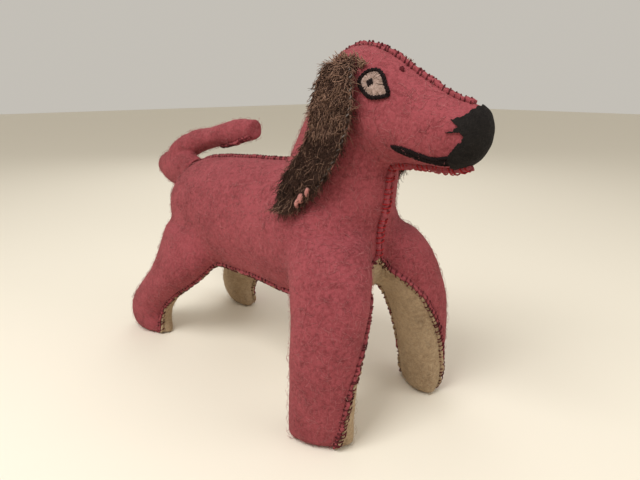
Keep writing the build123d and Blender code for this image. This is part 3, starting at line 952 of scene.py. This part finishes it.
for side, side_name in ((-1, "right"), (1, "left")):
    body = f"{side_name}_ear"
    draws = np.random.default_rng(40 + side)
    ear_low, ear_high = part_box(f"{side_name}_ear_fur")
    fur_mesh = fused([f"{side_name}_ear_fur"], 0.8 * MM)
    relax(fur_mesh, 5)
    fur_mesh.polygons.foreach_set("use_smooth", [True] * len(fur_mesh.polygons))
    spots = vertices_of(fur_mesh)
    outward = normals_of(fur_mesh)[:, 1] * side > 0.1
    heights = lumps(spots, 0.0042, 11 + side) * 0.8 * MM + lumps(spots, 0.0016, 12 + side) * 0.5 * MM
    heights = np.where(outward, heights + 0.3 * MM, heights * 0.25)
    set_vertices(fur_mesh, spots + normals_of(fur_mesh) * heights[:, None])
    fur = link(f"{side_name}_ear_pile", fur_mesh, brown_fur)
    finish_piece(fur, body, "ear_fur", f"{side_name}_ear_fur")

    def facing_out(spots, ways, side=side):
        return ways[:, 1] * side > -0.25

    def upper_third(spots, ways, side=side, low=ear_low.z, high=ear_high.z):
        return (ways[:, 1] * side > -0.1) & (spots[:, 2] > low + 0.55 * (high - low))

    dark_locks = locks_on(fur_mesh, 2600, 5.0 * MM, 0.55 * MM, 0.16 * MM, draws, facing_out)
    finish_piece(dark_locks.piece(f"{side_name}_ear_dark_locks", brown_fur), body, "ear_fur")
    tan_locks = locks_on(fur_mesh, 420, 5.5 * MM, 0.6 * MM, 0.13 * MM, draws, facing_out)
    upper_locks = locks_on(fur_mesh, 700, 5.0 * MM, 0.6 * MM, 0.15 * MM, draws, upper_third)
    finish_piece(tan_locks.piece(f"{side_name}_ear_tan_locks", tan_tuft), body, "ear_fur")
    finish_piece(upper_locks.piece(f"{side_name}_ear_upper_locks", tan_tuft), body, "ear_fur")

    lining_mesh = fused([f"{side_name}_ear_lining"], 0.45 * MM)
    relax(lining_mesh, 2)
    lining_mesh.polygons.foreach_set("use_smooth", [True] * len(lining_mesh.polygons))
    lining = link(f"{side_name}_ear_pink_lining", lining_mesh, pink_lining)
    finish_piece(lining, body, "ear_lining_felt", f"{side_name}_ear_lining")

    fur_tree = BVHTree.FromPolygons([v.co for v in fur_mesh.vertices],
                                    [p.vertices for p in fur_mesh.polygons])
    edge = Shape()
    front, levels = [], np.linspace(ear_high.z - 1 * MM, ear_low.z + 10 * MM, 130)
    for level in levels:
        near = np.abs(spots[:, 2] - level) < 1.2 * MM
        band = spots[near & outward]
        front.append(band[np.argmax(band[:, 0])])
    front = np.array(front)
    for _ in range(8):
        front[1:-1] = front[1:-1] * 0.5 + (front[:-2] + front[2:]) * 0.25
    phase = np.arange(len(front)) * 0.9
    front[:, 0] += 0.3 * MM + 0.5 * MM * np.cos(phase)
    front[:, 1] += side * (0.6 * MM + 0.45 * MM * np.sin(phase))
    edge.tube(front, 0.26 * MM, 5)
    finish_piece(edge.piece(f"{side_name}_ear_edge_thread", grey_thread), body, "ear_fur")

    tip = Shape()
    for number in range(5):
        x, z = 58 + number * 1.1, 104.5 + number * 0.7
        start, _, _, _ = fur_tree.find_nearest(Vector((x * MM, side * 0.036, z * MM)))
        start = np.array(start)
        line = [start + np.array((t * 0.4, side * (1.0 - 0.8 * t * t), t * 1.6)) * MM
                for t in (-1, -0.5, 0, 0.5, 1)]
        tip.tube(line, 0.95 * MM, 7)
    finish_piece(tip.piece(f"{side_name}_ear_tip_fold", pink_lining), body, "ear_lining_felt")

    tuft_low, tuft_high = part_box(f"{side_name}_ear_stitches")
    tuft, sewn = Shape(), Shape()
    for number in range(170):
        x = draws.uniform(tuft_low.x - 1 * MM, tuft_high.x + 3 * MM)
        place = Vector((x, side * 0.0155, draws.uniform(0.1605, 0.1655)))
        start, normal, _, _ = body_tree.find_nearest(place)
        way = np.array((draws.normal(0, 0.6), side * 0.5, draws.normal(0.1, 0.5)))
        path = curl(np.array(start), way / np.linalg.norm(way), np.array(normal),
                    draws.uniform(2.0, 4.0) * MM, 0.8 * MM, draws)
        tuft.tube(path, draws.uniform(0.18, 0.34) * MM, 4, taper=0.4)
    finish_piece(tuft.piece(f"{side_name}_ear_root_tuft", tan_tuft), "root", "ear_fur")
    for number in range(9):
        x = tuft_low.x + (tuft_high.x - tuft_low.x) * (number + 0.5) / 9
        line = []
        for t in (-1, -0.6, 0, 0.6, 1):
            spot, normal, _, _ = body_tree.find_nearest(
                Vector((x + t * 0.7 * MM, side * (0.0152 + 0.0012 * t), 0.1625 - t * 0.0026)))
            line.append(np.array(spot + normal * (1.9 - 1.0 * t * t) * MM))
        sewn.tube(line, 0.36 * MM, 5)
    finish_piece(sewn.piece(f"{side_name}_ear_sewing", maroon_thread), "root", "seam_thread",
                 f"{side_name}_ear_stitches")
print("ears made")

# %% [markdown]
# ## Tail
# The tail is a tapered tube of the same felt, folded over on itself, so that its blunt
# end points forward. Its seam runs on the inner side of the fold.

# %% Tail
tail_mesh = fused(["tail_felt", "tail_stuffing"], 0.9 * MM)
relax(tail_mesh, 7)
tail_mesh.polygons.foreach_set("use_smooth", [True] * len(tail_mesh.polygons))
spots = vertices_of(tail_mesh)
spots += normals_of(tail_mesh) * (lumps(spots, 0.009, 14) * 0.55 * MM
                                  + lumps(spots, 0.004, 15) * 0.3 * MM)[:, None]
set_vertices(tail_mesh, spots)
tail = link("tail_tube", tail_mesh, rose)
finish_piece(tail, "tail", "body_felt", "tail_felt", "tail_stuffing")
tail_tree = BVHTree.FromPolygons([v.co for v in tail_mesh.vertices],
                                 [p.vertices for p in tail_mesh.polygons])
inner = []
for t in np.linspace(0, 1, 60):
    middle_of_arm = Vector((-0.104, 0.004, 0.0995)).lerp(Vector((-0.0305, 0.0125, 0.1275)), t)
    place, normal, _, _ = tail_tree.ray_cast(middle_of_arm, Vector((0, -0.75, -0.66)))
    if place is not None:
        inner.append(np.array(place))
steps = np.linalg.norm(np.diff(inner, axis=0), axis=1)
breaks = np.nonzero(steps > 3 * MM)[0]
if len(breaks):
    inner = inner[breaks[-1] + 1:]
print("tail seam:", len(inner), "places after", len(breaks), "jumps")
tail_path = even_path(inner, 0.6 * MM)
tail_frames = surface_frame(tail_path, tail_tree)
tail_lips, tail_thread = Shape(), Shape()
lip(tail_lips, tail_frames, 1, 1.1 * MM, 71)
lip(tail_lips, tail_frames, -1, 1.1 * MM, 72)
over_stitches(tail_thread, tail_frames, 2.8 * MM, 1.1 * MM, 0.28 * MM, 1.7 * MM, 0.9 * MM, 73)
finish_piece(tail_lips.piece("tail_felt_edges", rose), "tail", "body_felt")
finish_piece(tail_thread.piece("tail_seam_stitches", maroon_thread), "tail", "seam_thread")

root_low, root_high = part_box("tail_stitches")
root_middle = np.array((root_low + root_high) / 2)
along, across = np.array((0.7071, 0, 0.7071)), np.array((0.0, 1.0, 0.0))
root_sewing = Shape()
for number in range(26):
    angle = number / 26 * 2 * pi
    rim = root_middle + along * 11.5 * MM * cos(angle) + across * 6.6 * MM * sin(angle)
    tail_end, tail_normal, _, _ = tail_tree.find_nearest(Vector(rim))
    body_end, body_normal, _, _ = body_tree.find_nearest(tail_end)
    if (tail_end - body_end).length > 4 * MM:
        continue
    halfway = (tail_end + body_end) / 2 + (tail_normal + body_normal) * 0.5 * MM
    root_sewing.tube([np.array(body_end - body_normal * 0.3 * MM), np.array(halfway),
                      np.array(tail_end + tail_normal * 0.2 * MM)], 0.3 * MM, 5)
print("tail root stitches:", len(root_sewing.verts))
finish_piece(root_sewing.piece("tail_root_stitches", maroon_thread), "root", "seam_thread", "tail_stitches")
print("tail made")

# %% [markdown]
# ## Loose fibres
# Felt sheds: fine pale hairs lie over it and stand out along its edges.


# %% Loose fibres
def fibres_on(mesh, chosen, amount, length, radius, seed, lift=0.9):
    """Thin curved hairs that lie over a surface, seeded by number."""
    shape = Shape()
    draws = np.random.default_rng(seed)
    spots, ways = vertices_of(mesh), normals_of(mesh)
    places = np.nonzero(chosen)[0]
    for i in draws.choice(places, amount):
        normal = ways[i] / (np.linalg.norm(ways[i]) + 1e-9)
        way = draws.normal(0, 1, 3)
        way -= normal * np.dot(way, normal)
        way /= np.linalg.norm(way) + 1e-9
        side = np.cross(way, normal)
        size, bend = length * draws.uniform(0.5, 1.5), draws.normal(0, 0.35)
        high = lift * MM * draws.uniform(0.3, 1.3)
        path = [spots[i] + way * size * t + side * size * bend * t * t
                + normal * (high * (1 - (2 * t - 0.9) ** 2) + 0.05 * MM) for t in np.linspace(0, 1, 5)]
        shape.tube(path, radius * draws.uniform(0.7, 1.3), 3)
    above_ground(shape)
    return shape


rose_hair = wool_material("rose_hair", (0.28, 0.075, 0.08), (0.45, 0.16, 0.16), (0.60, 0.30, 0.29))
cream_hair = wool_material("cream_hair", (0.38, 0.28, 0.18), (0.55, 0.44, 0.31), (0.68, 0.58, 0.45))
spots = vertices_of(body_mesh)
on_gusset = outside_gusset(spots[:, 1], spots[:, 2]) < 0
bare = spots[:, 0] < 0.116
clear_of_eyes = (np.hypot(spots[:, 0] - 0.0845, spots[:, 2] - 0.153) > 0.009) | (spots[:, 2] < 0.13)
sides_of_dog = ~on_gusset & bare & clear_of_eyes
finish_piece(fibres_on(body_mesh, sides_of_dog, 6000, 3.4 * MM, 0.055 * MM, 81)
             .piece("loose_rose_fibres", rose_hair), "root", "body_felt")
finish_piece(fibres_on(body_mesh, on_gusset, 1200, 3.0 * MM, 0.055 * MM, 82)
             .piece("loose_cream_fibres", cream_hair), "root", "underbody_felt")
finish_piece(fibres_on(tail_mesh, np.ones(len(tail_mesh.vertices), bool), 900, 3.0 * MM,
                       0.055 * MM, 83).piece("loose_tail_fibres", rose_hair), "tail", "body_felt")
print("fibres laid")

# %% Finish
low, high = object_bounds()
print("box:", [round(v * 1000, 1) for v in (*low, *high)], "mm")
